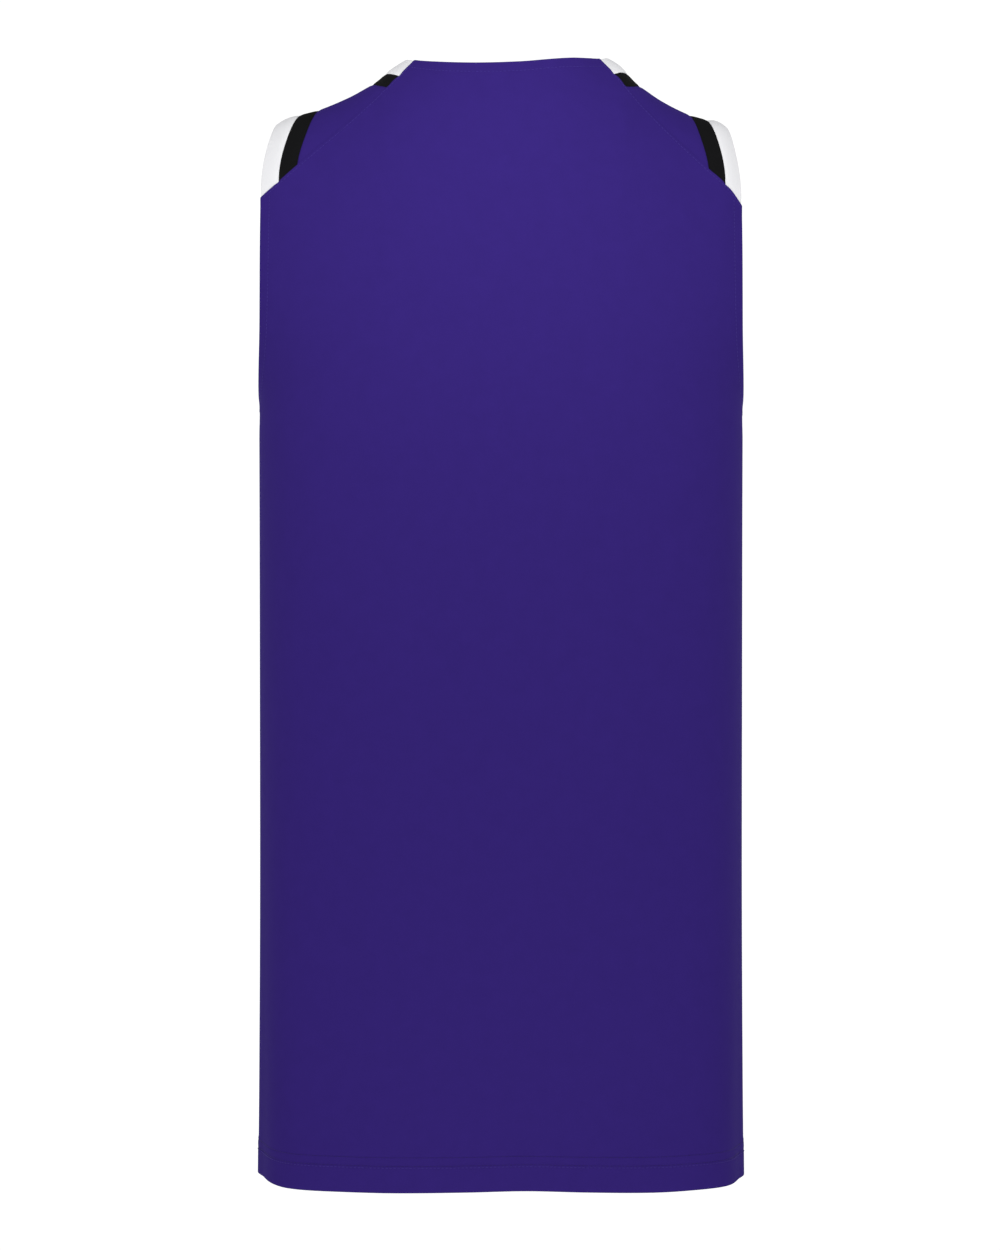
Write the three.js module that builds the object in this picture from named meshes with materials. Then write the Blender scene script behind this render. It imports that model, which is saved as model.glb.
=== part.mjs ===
// A sleeveless basketball jersey, filled out as when it is worn, with nobody in it.
// Millimetres, +Z up. The front faces -Y and the wearer's left is +X.
// The origin is the middle of the shoulder line at the neck, where the wearer's shoulders carry it.
//
// Every point of the cloth has two coordinates: how far it lies around the body (0 at the middle of
// the front and back, a quarter turn at the side seam) and how far it has turned over the shoulder
// (0 on the shoulder line, positive down the front, negative down the back).
import * as THREE from "three";

// Driving sizes
const BODY_LENGTH = 800;
const HALF_WIDTH = 173.5;
const ARCH_DEPTH = 330; // how far under the shoulder line the cloth starts to hang plumb
const ARCH_POWER = 2.4; // superellipse power of the arch over the shoulders
const UNDERARM = 245; // depth of the armhole under the shoulder line
const FRONT_NECK_DEPTH = 94;
const NECK_HALF_WIDTH = 74;
const SHOULDER_TIP = 161.5;
const NECK_BANDS = { white: 17, black: 12 };
const ARM_BANDS = { white: 18, black: 13.5 };
const ARM_BANDS_AT_SEAM = { white: 14.5, black: 13.5 }; // the white narrows towards the seam

// Cloth
const WALL = 1.6;
const SEAM_GAP = 0.3;
const HEM_DEPTH = 25;
const HEM_STEP = 2; // the cloth drops from the hem's double thickness to one layer over this height
const HEM_OUTSIDE = 0.4;
const HEM_INSIDE = 0.9;

// How the garment sits: its yoke lies a little to the wearer's right
const YOKE_SHIFT = 4.8;
const SHIFT_FADE = 2.5; // the power at which the shift fades towards the side seams

// How much higher or lower than the even form its shoulders and its hem sit, from the wearer's right to
// the left. The shoulders' share fades down to where the cloth hangs plumb, the hem's above the hem.
const SHOULDER_SETTLE = [
  { across: -190, height: -8 },
  { across: -172, height: -7.5 },
  { across: -163, height: -3 },
  { across: -155, height: -2.3 },
  { across: -145, height: -3.5 },
  { across: -120, height: -3.2 },
  { across: -98, height: -1.5 },
  { across: -89, height: -0.4 },
  { across: -80, height: 1.3 },
  { across: -66, height: 0.9 },
  { across: -58, height: 2 },
  { across: -45, height: 3.1 },
  { across: -28, height: 2.5 },
  { across: -10, height: 0.8 },
  { across: 6, height: 0 },
  { across: 190, height: 0 },
];
const HEM_SETTLE = [
  { across: -175, height: 0 },
  { across: -145, height: 0 },
  { across: -108, height: -1 },
  { across: -60, height: -0.3 },
  { across: -17, height: 0.8 },
  { across: 25, height: -0.2 },
  { across: 73, height: -0.9 },
  { across: 110, height: -0.6 },
  { across: 150, height: 0 },
  { across: 167, height: 1.7 },
  { across: 175, height: 1.8 },
];
const HEM_SETTLE_FROM = 720; // depth at which the hem's share starts

// The closed form that the pieces are cut from, by depth under the shoulder line. Its rings are
// superellipses that may be blunter at the front and back than at the side seams.
const RINGS = [
  { level: -800, halfWidth: 174.6, back: 102, front: 100, power: 3.8, sidePower: 2.1 },
  { level: -730, halfWidth: 173.9, back: 101, front: 100, power: 3.7, sidePower: 2.2 },
  { level: -600, halfWidth: 173.2, back: 101, front: 102, power: 3.5, sidePower: 2.4 },
  { level: -450, halfWidth: 173.2, back: 105, front: 108, power: 3.3, sidePower: 2.6 },
  { level: -330, halfWidth: 173.3, back: 110, front: 115, power: 3.1, sidePower: 2.7 },
  { level: -260, halfWidth: 173.4, back: 113, front: 118, power: 2.9, sidePower: 2.8 },
  { level: -229.5, halfWidth: 173.5, back: 114, front: 118, power: 2.8, sidePower: 2.8 },
  { level: -205, halfWidth: 177.5, back: 114, front: 117, power: 2.75, sidePower: 2.75 },
  { level: -170, halfWidth: 185, back: 114, front: 115, power: 2.7, sidePower: 2.7 },
  { level: -120, halfWidth: 192, back: 114, front: 112, power: 2.65, sidePower: 2.65 },
  { level: -60, halfWidth: 196, back: 113, front: 108, power: 2.6, sidePower: 2.6 },
  { level: 0, halfWidth: 195, back: 112, front: 105, power: 2.6, sidePower: 2.6 },
];

// Height of the shoulder line. Inside the neck hole it is only the form's own crown.
const SHOULDER_LINE = [
  { across: 0, height: 30 },
  { across: 35, height: 22.5 },
  { across: 58, height: 9.6 },
  { across: 74, height: 0.2 },
  { across: 84, height: -6.4 },
  { across: 92, height: -13.8 },
  { across: 101, height: -19.6 },
  { across: 112, height: -25.8 },
  { across: 131, height: -34.1 },
  { across: 144, height: -37.8 },
  { across: 155, height: -40.8 },
  { across: 165, height: -47.5 },
  { across: 182, height: -62 },
  { across: 198, height: -78 },
];

// The armhole's edge, as seen from the back and from the front
const BACK_ARM_EDGE = [
  { height: -245, across: 173.5 },
  { height: -225, across: 172.2 },
  { height: -200, across: 170.9 },
  { height: -170, across: 170.5 },
  { height: -135, across: 170.5 },
  { height: -103, across: 170.4 },
  { height: -85, across: 170 },
  { height: -72, across: 168.5 },
  { height: -60, across: 166 },
  { height: -50, across: 163.4 },
  { height: -45, across: 161.5 },
];
const FRONT_ARM_EDGE = [
  { height: -245, across: 173.5 },
  { height: -232, across: 171.8 },
  { height: -210, across: 167.5 },
  { height: -180, across: 163.5 },
  { height: -145, across: 161.6 },
  { height: -110, across: 161.8 },
  { height: -80, across: 163 },
  { height: -60, across: 162.8 },
  { height: -45, across: 161.5 },
];

// The back neckline out to the shoulder line, and the slanting seam from its corner to the armhole
const BACK_NECK = [
  { across: 0, height: -7.8 },
  { across: 25, height: -7.7 },
  { across: 45, height: -6.3 },
  { across: 66, height: -2.7 },
  { across: 74, height: 0.2 },
];
const BACK_SEAM = [
  { across: 58, height: 7.7 },
  { across: 66, height: -2.7 },
  { across: 83.5, height: -21.9 },
  { across: 111, height: -48.7 },
  { across: 144.5, height: -78.8 },
  { across: 158, height: -91.3 },
  { across: 170.6, height: -102.4 },
  { across: 185, height: -117 },
];

// Soft folds in the hanging cloth. Each is a shallow trough or, where its depth is negative, a swell
// that runs between two points and fades out at both ends and to both sides. Side 1 is the front and
// -1 the back.
const FOLDS = [
  { side: -1, across: 122, top: -540, footAcross: 128, foot: -830, width: 46, depth: 3.2 },
  { side: -1, across: -128, top: -390, footAcross: -112, foot: -830, width: 50, depth: 3.4 },
  { side: -1, across: 8, top: -600, footAcross: 2, foot: -840, width: 70, depth: -2.2 },
  { side: -1, across: -14, top: -410, footAcross: -24, foot: -600, width: 22, depth: 0.9 },
  { side: -1, across: -60, top: -330, footAcross: -138, foot: -250, width: 26, depth: 1.2 },
  { side: -1, across: 64, top: -350, footAcross: 140, foot: -270, width: 26, depth: 1.1 },
  { side: 1, across: 96, top: -300, footAcross: 118, foot: -830, width: 48, depth: 3.4 },
  { side: 1, across: -90, top: -330, footAcross: -116, foot: -830, width: 46, depth: 3.2 },
  { side: 1, across: -6, top: -420, footAcross: 10, foot: -840, width: 74, depth: -2.4 },
  { side: 1, across: 52, top: -210, footAcross: 134, foot: -270, width: 24, depth: 1.4 },
  { side: 1, across: -52, top: -210, footAcross: -134, foot: -270, width: 24, depth: 1.4 },
];

// How many rows and columns of flat pieces stand for the curved cloth
const BODY_ROWS = 12;
const STRAP_FRONT_ROWS = 10;
const STRAP_BACK_ROWS = 5;
const STRAP_COLUMNS = 7;
const NECK_FOOT_COLUMNS = 6; // under the front neck
const ARM_FOOT_COLUMNS = 7; // under the front of the armhole
const BACK_NECK_COLUMNS = 4;
const BACK_ARM_COLUMNS = 9;
const WHITE_COLUMNS = 2;
const BLACK_COLUMNS = 1;
const TURN_SPACING = 40; // a bend of one radian counts as this much length when a curve is shared out

// How finely curves are worked out
const CURVE_SAMPLES = 360;
const TRACE_STEP = 2;
const BESIDE_STEPS = 5;
const HALVINGS = 40;
const SLOPE_STEP = 1e-4;
const SAME_PLACE = 1e-5;
const SHARPEST_CORNER = 0.5; // a piece's corner is pulled in by no more than one over this

const QUARTER = Math.PI / 2;
const SIDE_FROM = THREE.MathUtils.degToRad(40);
const SIDE_FULL = THREE.MathUtils.degToRad(80);
const FRONT = 1;
const BACK = -1;

// A smooth function through a table's rows: cubics whose slopes come from the rows on each side
function through(rows, from, to) {
  const slopes = rows.map((_, i) => {
    const before = rows[Math.max(0, i - 1)];
    const after = rows[Math.min(rows.length - 1, i + 1)];
    return (after[to] - before[to]) / (after[from] - before[from]);
  });
  return (at) => {
    let i = 0;
    while (i < rows.length - 2 && at > rows[i + 1][from]) i += 1;
    const [low, high] = [rows[i], rows[i + 1]];
    const span = high[from] - low[from];
    const t = THREE.MathUtils.clamp((at - low[from]) / span, 0, 1);
    const rise = high[to] - low[to];
    const bend = (1 - t) * (slopes[i] * span - rise) - t * (slopes[i + 1] * span - rise);
    return low[to] + t * rise + t * (1 - t) * bend;
  };
}

const halfWidthAt = through(RINGS, "level", "halfWidth");
const backDepthAt = through(RINGS, "level", "back");
const frontDepthAt = through(RINGS, "level", "front");
const ringPowerAt = through(RINGS, "level", "power");
const sidePowerAt = through(RINGS, "level", "sidePower");
const shoulderHeight = through(SHOULDER_LINE, "across", "height");
const shoulderSettle = through(SHOULDER_SETTLE, "across", "height");
const hemSettle = through(HEM_SETTLE, "across", "height");
const backArmAcross = through(BACK_ARM_EDGE, "height", "across");
const frontArmAcross = through(FRONT_ARM_EDGE, "height", "across");
const backNeckHeight = through(BACK_NECK, "across", "height");
const seamHeight = through(BACK_SEAM, "across", "height");

// The point of a unit superellipse at a polar angle
function rounded(angle, power) {
  const sine = Math.sin(angle);
  const cosine = Math.cos(angle);
  const reach = (Math.abs(sine) ** power + Math.abs(cosine) ** power) ** (-1 / power);
  return { across: sine * reach, along: cosine * reach };
}

// The ring at a level. Its blunt power at the front and back passes into its side power on the way.
function ringPoint(around, level) {
  const share = THREE.MathUtils.smoothstep(Math.abs(around), SIDE_FROM, SIDE_FULL);
  return rounded(around, THREE.MathUtils.lerp(ringPowerAt(level), sidePowerAt(level), share));
}

// How far the folds push the cloth in at a place on one side
function foldDepth(side, across, height) {
  return FOLDS.filter((fold) => fold.side === side).reduce((sum, fold) => {
    const run = new THREE.Vector2(fold.footAcross - fold.across, fold.foot - fold.top);
    const from = new THREE.Vector2(across - fold.across, height - fold.top);
    const along = from.dot(run) / run.lengthSq();
    if (along <= 0 || along >= 1) return sum;
    const aside = from.cross(run) / run.length() / fold.width;
    return sum + fold.depth * Math.sin(Math.PI * along) * Math.exp(-2 * aside ** 2);
  }, 0);
}

// Where a place lies before the garment's own lean: its ring, its arch, how far across and how high
function layout(place) {
  const turn = Math.abs(place.y);
  const arch = turn < QUARTER ? rounded(turn, ARCH_POWER) : { across: 1, along: 0 };
  const level = ARCH_DEPTH * (turn < QUARTER ? arch.along - 1 : QUARTER - turn - 1);
  const ring = ringPoint(place.x, level);
  const across = halfWidthAt(level) * ring.across;
  const height = level + shoulderHeight(Math.abs(across)) * arch.along;
  return { arch, level, ring, across, height };
}

// The point of the cloth's outer face at a place
function cloth(place) {
  const { arch, level, ring, across, height } = layout(place);
  const side = place.y < 0 ? BACK : FRONT;
  const depth = side === BACK ? backDepthAt(level) : frontDepthAt(level);
  const out = ring.along * (depth * arch.across - foldDepth(side, across, height));
  const shift = YOKE_SHIFT * Math.max(0, 1 - Math.abs(across / HALF_WIDTH) ** SHIFT_FADE);
  const hemShare = THREE.MathUtils.smoothstep(-level, HEM_SETTLE_FROM, BODY_LENGTH);
  const settle = shoulderSettle(across) * arch.along + hemSettle(across) * hemShare;
  return new THREE.Vector3(across - shift * arch.along, -side * out, height + settle);
}

// The two directions over the cloth at a place: further around, and further over the shoulder
function directions(place) {
  const slope = (x, y) => {
    const ahead = cloth(new THREE.Vector2(place.x + x, place.y + y));
    const behind = cloth(new THREE.Vector2(place.x - x, place.y - y));
    return ahead.sub(behind).divideScalar(2 * SLOPE_STEP);
  };
  return { around: slope(SLOPE_STEP, 0), over: slope(0, SLOPE_STEP) };
}

function outward(place) {
  const { around, over } = directions(place);
  return over.cross(around).normalize();
}

// The place that is seen at a distance across and a height, from the front or from the back
function spot(across, height, side) {
  const crown = shoulderHeight(Math.abs(across));
  const level = height > -ARCH_DEPTH ? (height - crown) / (1 + crown / ARCH_DEPTH) : height;
  const rise = Math.min(1, 1 + level / ARCH_DEPTH);
  const fall = (1 - Math.max(0, rise) ** ARCH_POWER) ** (1 / ARCH_POWER);
  const turn = rise > 0 ? Math.atan2(fall, rise) : QUARTER - rise;
  let [low, high] = [0, QUARTER];
  for (let k = 0; k < HALVINGS; k += 1) {
    const middle = (low + high) / 2;
    if (halfWidthAt(level) * ringPoint(middle, level).across < Math.abs(across)) low = middle;
    else high = middle;
  }
  return new THREE.Vector2(Math.sign(across) * high, side * turn);
}

const lerpPlace = (from, to, t) => from.clone().lerp(to, t);

// Places along a curve, every few millimetres. The form turns fastest at a curve's ends, so those are
// looked at most closely.
function trace(placeAt) {
  const places = [placeAt(0)];
  for (let i = 1; i <= CURVE_SAMPLES; i += 1) {
    const t = i / CURVE_SAMPLES;
    const place = placeAt(t ** 3 / (t ** 3 + (1 - t) ** 3));
    if (cloth(place).distanceTo(cloth(places.at(-1))) > TRACE_STEP) places.push(place);
  }
  places[places.length - 1] = placeAt(1);
  return places;
}

// A few places that share a curve out evenly, closer where it bends
function shareOut(curve, count) {
  const points = curve.map(cloth);
  const steps = points.slice(1).map((point, i) => point.clone().sub(points[i]));
  const run = [0];
  steps.forEach((step, i) => {
    const turn = i > 0 ? step.angleTo(steps[i - 1]) : 0;
    run.push(run[i] + step.length() + TURN_SPACING * turn);
  });
  return Array.from({ length: count + 1 }, (_, k) => {
    const target = run.at(-1) * (k / count);
    const next = Math.max(1, run.findIndex((length) => length >= target));
    return lerpPlace(curve[next - 1], curve[next], (target - run[next - 1]) / (run[next] - run[next - 1]));
  });
}

// The curve that lies to the right of another, at a distance that may depend on the place, measured
// over the cloth from outside
function beside(curve, distanceAt) {
  return curve.map((start, i) => {
    const step = distanceAt(start) / BESIDE_STEPS;
    const before = cloth(curve[Math.max(0, i - 1)]);
    const after = cloth(curve[Math.min(curve.length - 1, i + 1)]);
    const tangent = after.sub(before).normalize();
    const place = start.clone();
    for (let k = 0; k < BESIDE_STEPS; k += 1) {
      const { around, over } = directions(place);
      const normal = over.clone().cross(around);
      const move = tangent.clone().cross(normal).normalize().multiplyScalar(step);
      const [aa, ab, bb] = [around.dot(around), around.dot(over), over.dot(over)];
      const [am, bm] = [around.dot(move), over.dot(move)];
      const whole = aa * bb - ab * ab;
      place.x += (am * bb - bm * ab) / whole;
      place.y += (bm * aa - am * ab) / whole;
    }
    return place;
  });
}

// The slanting seam, on which the shoulders and their bands end
const seamPlace = (across) => spot(across, seamHeight(across), BACK);
const acrossAt = (place) => layout(place).across;

function seamRow(from, to, count) {
  return shareOut(trace((t) => seamPlace(THREE.MathUtils.lerp(from, to, t))), count);
}

// A curve that starts on the front, as two parts: up to the shoulder line, and from there to the seam
function overShoulder(curve) {
  const front = curve.filter((place) => place.y > 0);
  const behind = curve.filter((place) => place.y < 0);
  const rise = front.at(-1).y / (front.at(-1).y - behind[0].y);
  const ridge = lerpPlace(front.at(-1), behind[0], rise);
  const pastSeam = (place) => layout(place).height < seamHeight(acrossAt(place));
  const last = behind.findIndex(pastSeam);
  let [near, far] = [behind[last - 1], behind[last]];
  for (let k = 0; k < HALVINGS; k += 1) {
    const middle = lerpPlace(near, far, 0.5);
    if (pastSeam(middle)) far = middle;
    else near = middle;
  }
  return { front: [...front, ridge], back: [ridge, ...behind.slice(0, last), near] };
}

// The armhole's edge on the wearer's left: from the side seam up the front, and over to the back
const armHeight = (t) => THREE.MathUtils.lerp(-UNDERARM, shoulderHeight(SHOULDER_TIP), t);
const frontArm = trace((t) => spot(frontArmAcross(armHeight(t)), armHeight(t), FRONT));
const backArm = trace((t) => spot(backArmAcross(armHeight(1 - t)), armHeight(1 - t), BACK));
const armEdge = [...frontArm, ...backArm.slice(1)];

// The neck's edge on that side: from the middle of the front, and over to the middle of the back
const frontNeck = trace((t) => {
  const angle = QUARTER * (1 - t);
  const top = shoulderHeight(NECK_HALF_WIDTH);
  const height = top - (FRONT_NECK_DEPTH + top) * Math.sin(angle);
  return spot(NECK_HALF_WIDTH * Math.cos(angle), height, FRONT);
});
const backNeck = trace((t) => {
  const across = NECK_HALF_WIDTH * (1 - t);
  return spot(across, backNeckHeight(across), BACK);
});
const neckEdge = [...frontNeck, ...backNeck.slice(1)];

// The bands' edges as rows of places, the garment's own edge first. Behind the shoulder line the bands
// pass from one pair of widths into the other.
function bandLines(edge, bands, bandsAtSeam, side, startAround, footColumns) {
  const seamTurn = overShoulder(edge).back.at(-1).y;
  const distances = (widths) => [0, widths.white, widths.white + widths.black];
  const ends = distances(bandsAtSeam);
  return distances(bands).map((distance, i) => {
    const line = beside(edge, (place) => {
      const share = THREE.MathUtils.smoothstep(place.y / seamTurn, 0, 1);
      return side * THREE.MathUtils.lerp(distance, ends[i], share);
    });
    line[0].x = startAround;
    const { front, back } = overShoulder(line);
    const rows = shareOut(front, footColumns + STRAP_FRONT_ROWS);
    return [...rows, ...shareOut(back, STRAP_BACK_ROWS).slice(1)];
  });
}
const armLines = bandLines(armEdge, ARM_BANDS, ARM_BANDS_AT_SEAM, -1, QUARTER, ARM_FOOT_COLUMNS);
const neckLines = bandLines(neckEdge, NECK_BANDS, NECK_BANDS, 1, 0, NECK_FOOT_COLUMNS);

// The straight stretches: around the body at one depth, and up or down it at one distance around
const turnAt = (level) => QUARTER + (-level - ARCH_DEPTH) / ARCH_DEPTH;
const hemTop = -(BODY_LENGTH - HEM_DEPTH);
const hemLevels = [-BODY_LENGTH, hemTop, hemTop + HEM_STEP];

function ringRow(level, side, count) {
  return shareOut(trace((t) => new THREE.Vector2(QUARTER * t, side * turnAt(level))), count);
}

const straight = (from, to, count) => shareOut(trace((t) => lerpPlace(from, to, t)), count);

// The places of a patch between four rows: near and far run one way, start and finish the other
function fill(near, far, start, finish) {
  const blend = (s, t, corners) => lerpPlace(
    lerpPlace(corners[0], corners[1], s),
    lerpPlace(corners[2], corners[3], s),
    t,
  );
  const corners = [near[0], near.at(-1), far[0], far.at(-1)];
  const [lastColumn, lastRow] = [near.length - 1, start.length - 1];
  return start.map((_, j) => near.map((_, i) => {
    if (j === 0) return near[i];
    if (j === lastRow) return far[i];
    if (i === 0) return start[j];
    if (i === lastColumn) return finish[j];
    const [s, t] = [i / lastColumn, j / lastRow];
    const across = lerpPlace(start[j], finish[j], s);
    const along = lerpPlace(near[i], far[i], t);
    return across.add(along).sub(blend(s, t, corners));
  }));
}

const mirrored = (patch) => patch.map((row) => row.map((place) => new THREE.Vector2(-place.x, place.y)));

// Patches of one piece as places and triangles that face outwards, joined where patches share a row
function joined(patches) {
  const places = [];
  const indexOf = new Map();
  const index = (place) => {
    const key = `${Math.round(place.x / SAME_PLACE)} ${Math.round(place.y / SAME_PLACE)}`;
    if (!indexOf.has(key)) indexOf.set(key, places.push(place) - 1);
    return indexOf.get(key);
  };
  const flats = patches.flatMap((patch) => patch.slice(1).flatMap((row, j) => row.slice(1).map((place, i) => {
    const corners = [patch[j][i], patch[j][i + 1], place, row[i]];
    return THREE.ShapeUtils.isClockWise(corners) ? corners : corners.reverse();
  })));
  const triangles = flats.flatMap((corners) => {
    const [p, q, r, s] = corners.map(cloth);
    const [a, b, c, d] = corners.map(index);
    return p.distanceTo(r) < q.distanceTo(s) ? [[a, b, c], [a, c, d]] : [[a, b, d], [b, c, d]];
  });
  return { places, triangles };
}

// The edges that only one triangle has, each as its two corners
function openEdges(triangles) {
  const edges = new Map();
  for (const [a, b, c] of triangles) {
    for (const [from, to] of [[a, b], [b, c], [c, a]]) {
      if (edges.has(`${to} ${from}`)) edges.delete(`${to} ${from}`);
      else edges.set(`${from} ${to}`, [from, to]);
    }
  }
  return [...edges.values()];
}

// Half of the seam gap comes off a piece all round, so that neighbours stay clear of each other
function pullIn(points, normals, rim) {
  const outs = points.map(() => []);
  for (const [from, to] of rim) {
    const edge = points[to].clone().sub(points[from]);
    for (const corner of [from, to]) outs[corner].push(edge.clone().cross(normals[corner]).normalize());
  }
  points.forEach((point, i) => {
    if (outs[i].length !== 2) return;
    const [one, other] = outs[i];
    const share = SEAM_GAP / 2 / Math.max(SHARPEST_CORNER, 1 + one.dot(other));
    point.addScaledVector(one, -share).addScaledVector(other, -share);
  });
}

// The wall of a piece: its outer face on the form, its inner face a cloth's thickness inside, and a
// rim. The hem is turned up, so the cloth is double there.
function wall(patches) {
  const { places, triangles } = joined(patches);
  const normals = places.map(outward);
  const outer = places.map(cloth);
  const rim = openEdges(triangles);
  pullIn(outer, normals, rim);

  const doubled = places.map((place) => {
    return 1 - THREE.MathUtils.clamp((layout(place).level - hemTop) / HEM_STEP, 0, 1);
  });
  const inner = outer.map((point, i) => {
    return point.clone().addScaledVector(normals[i], -WALL - HEM_INSIDE * doubled[i]);
  });
  outer.forEach((point, i) => point.addScaledVector(normals[i], HEM_OUTSIDE * doubled[i]));

  const count = places.length;
  const faces = triangles.flatMap(([a, b, c]) => [a, b, c, a + count, c + count, b + count]);
  for (const [from, to] of rim) faces.push(to, from, from + count, to, from + count, to + count);
  const geometry = new THREE.BufferGeometry().setFromPoints([...outer, ...inner]);
  geometry.setIndex(faces);
  geometry.computeVertexNormals();
  return geometry;
}

// Back panel: one piece from side seam to side seam, up to the neckline and the slanting seams
function backPanel() {
  const seamStops = [...neckLines, ...armLines.toReversed()].map((line) => acrossAt(line.at(-1)));
  const seamCounts = [WHITE_COLUMNS, BLACK_COLUMNS, STRAP_COLUMNS, BLACK_COLUMNS, WHITE_COLUMNS];
  const seam = seamCounts.flatMap((count, i) => seamRow(seamStops[i], seamStops[i + 1], count).slice(1));
  const neck = shareOut(trace((t) => {
    const across = seamStops[0] * t;
    return spot(across, backNeckHeight(across), BACK);
  }), BACK_NECK_COLUMNS);
  const arm = shareOut(trace((t) => {
    const height = THREE.MathUtils.lerp(seamHeight(seamStops.at(-1)), -UNDERARM, t);
    return spot(backArmAcross(height), height, BACK);
  }), BACK_ARM_COLUMNS);
  const top = [...neck, ...seam, ...arm.slice(1)];
  top[top.length - 1] = sideStations.at(-1).clone().setY(-sideStations.at(-1).y);

  const columns = top.length - 1;
  const side = sideStations.map((place) => new THREE.Vector2(place.x, -place.y));
  const rings = hemLevels.map((level) => ringRow(level, BACK, columns));
  const centre = straight(rings.at(-1)[0], top[0], side.length - 1);
  const half = [rings, fill(rings.at(-1), top, centre, side)];
  return wall([...half, ...half.map(mirrored)]);
}

// Front panel: it runs over both shoulders to the slanting seams on the back
function frontPanel() {
  const [neck, arm] = [neckLines.at(-1), armLines.at(-1)];
  const chest = straight(neck[NECK_FOOT_COLUMNS], arm[ARM_FOOT_COLUMNS], STRAP_COLUMNS);
  const top = [
    ...neck.slice(0, NECK_FOOT_COLUMNS),
    ...chest,
    ...arm.slice(0, ARM_FOOT_COLUMNS).toReversed(),
  ];
  const rings = hemLevels.map((level) => ringRow(level, FRONT, top.length - 1));
  const side = sideStations.slice(0, BODY_ROWS + 1);
  const centre = straight(rings.at(-1)[0], neck[0], BODY_ROWS);
  const body = fill(rings.at(-1), top, centre, side);
  const seam = seamRow(acrossAt(neck.at(-1)), acrossAt(arm.at(-1)), STRAP_COLUMNS);
  const strap = fill(chest, seam, neck.slice(NECK_FOOT_COLUMNS), arm.slice(ARM_FOOT_COLUMNS));
  const half = [rings, body, strap];
  return wall([...half, ...half.map(mirrored)]);
}

// A band between two of its lines, from the garment's edge outwards, on the wearer's left half
function band(lines, first, columns) {
  const [edge, next] = [lines[first], lines[first + 1]];
  const foot = straight(edge[0], next[0], columns);
  const end = seamRow(acrossAt(edge.at(-1)), acrossAt(next.at(-1)), columns);
  return fill(foot, end, edge, next);
}

// The side seam from the hem's fold up past the front's edge and the ends of the two arm bands
const [underarm, whiteFoot, blackFoot] = armLines.map((line) => line[0]);
const sideHem = new THREE.Vector2(QUARTER, turnAt(hemLevels.at(-1)));
const sideStations = [
  ...straight(sideHem, blackFoot, BODY_ROWS),
  ...straight(blackFoot, whiteFoot, BLACK_COLUMNS).slice(1),
  ...straight(whiteFoot, underarm, WHITE_COLUMNS).slice(1),
];

const purple = new THREE.MeshStandardMaterial({ color: "#36246f", roughness: 0.8, metalness: 0 });
const white = new THREE.MeshStandardMaterial({ color: "#eceaf0", roughness: 0.8, metalness: 0 });
const black = new THREE.MeshStandardMaterial({ color: "#19181b", roughness: 0.8, metalness: 0 });

function piece(name, geometry, material) {
  const mesh = new THREE.Mesh(geometry, material);
  mesh.name = name;
  return mesh;
}

const jersey = new THREE.Group();
jersey.add(piece("back_panel", backPanel(), purple));
jersey.add(piece("front_panel", frontPanel(), purple));

const trims = [
  { colour: "white", first: 0, columns: WHITE_COLUMNS, material: white },
  { colour: "black", first: 1, columns: BLACK_COLUMNS, material: black },
];
for (const { colour, first, columns, material } of trims) {
  const neck = band(neckLines, first, columns);
  const arm = band(armLines, first, columns);
  jersey.add(piece(`neck_band_${colour}`, wall([neck, mirrored(neck)]), material));
  jersey.add(piece(`arm_band_${colour}_left`, wall([arm]), material));
  jersey.add(piece(`arm_band_${colour}_right`, wall([mirrored(arm)]), material));
}

export default jersey;
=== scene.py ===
import math
from collections import namedtuple

import bmesh
import bpy
import numpy as np
from mathutils import Matrix, Vector
from mathutils.kdtree import KDTree


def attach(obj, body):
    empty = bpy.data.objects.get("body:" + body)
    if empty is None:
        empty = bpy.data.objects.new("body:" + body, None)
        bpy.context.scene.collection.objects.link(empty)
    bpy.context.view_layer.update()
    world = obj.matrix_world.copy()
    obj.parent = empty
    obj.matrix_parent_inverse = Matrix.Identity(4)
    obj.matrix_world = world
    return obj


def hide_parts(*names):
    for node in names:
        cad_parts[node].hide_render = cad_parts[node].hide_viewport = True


bl_info = {
    "name": "Basketball jersey",
    "version": (1, 0, 0),
    "blender": (4, 5, 0),
    "location": "3D View > Sidebar > Jersey",
    "description": "A worn basketball jersey with nobody in it, built around its CAD frame",
    "category": "Object",
}

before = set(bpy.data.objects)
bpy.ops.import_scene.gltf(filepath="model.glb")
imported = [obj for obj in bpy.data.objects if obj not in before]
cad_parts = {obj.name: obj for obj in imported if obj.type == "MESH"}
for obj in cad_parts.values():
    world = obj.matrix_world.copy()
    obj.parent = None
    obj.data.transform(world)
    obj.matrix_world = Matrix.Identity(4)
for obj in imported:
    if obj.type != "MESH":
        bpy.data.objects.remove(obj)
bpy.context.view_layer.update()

MM = 0.001
QUARTER = math.pi / 2
FRONT = 1
BACK = -1

# Driving sizes, in millimetres
BODY_LENGTH = 800
HALF_WIDTH = 173.5
ARCH_DEPTH = 330  # how far under the shoulder line the cloth starts to hang plumb
ARCH_POWER = 2.4  # superellipse power of the arch over the shoulders
UNDERARM = 245
FRONT_NECK_DEPTH = 94
NECK_HALF_WIDTH = 74
SHOULDER_TIP = 161.5
NECK_BANDS = (17, 12)  # white, black
ARM_BANDS = (18, 13.5)
ARM_BANDS_AT_SEAM = (14.5, 13.5)  # the white narrows towards the seam
HEM_DEPTH = 25
HEM_STITCHES = (18.6, 24.5)  # heights of the two stitch rows over the hem's fold
HEM_LOOPS = 17.3  # height of the lighter thread that shows under the lower row on the back
HEM_PROUD = 0.4  # how far the doubled cloth of the hem stands out

# How the garment sits: its yoke lies a little to the wearer's right
YOKE_SHIFT = 4.8
SHIFT_FADE = 2.5

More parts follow.
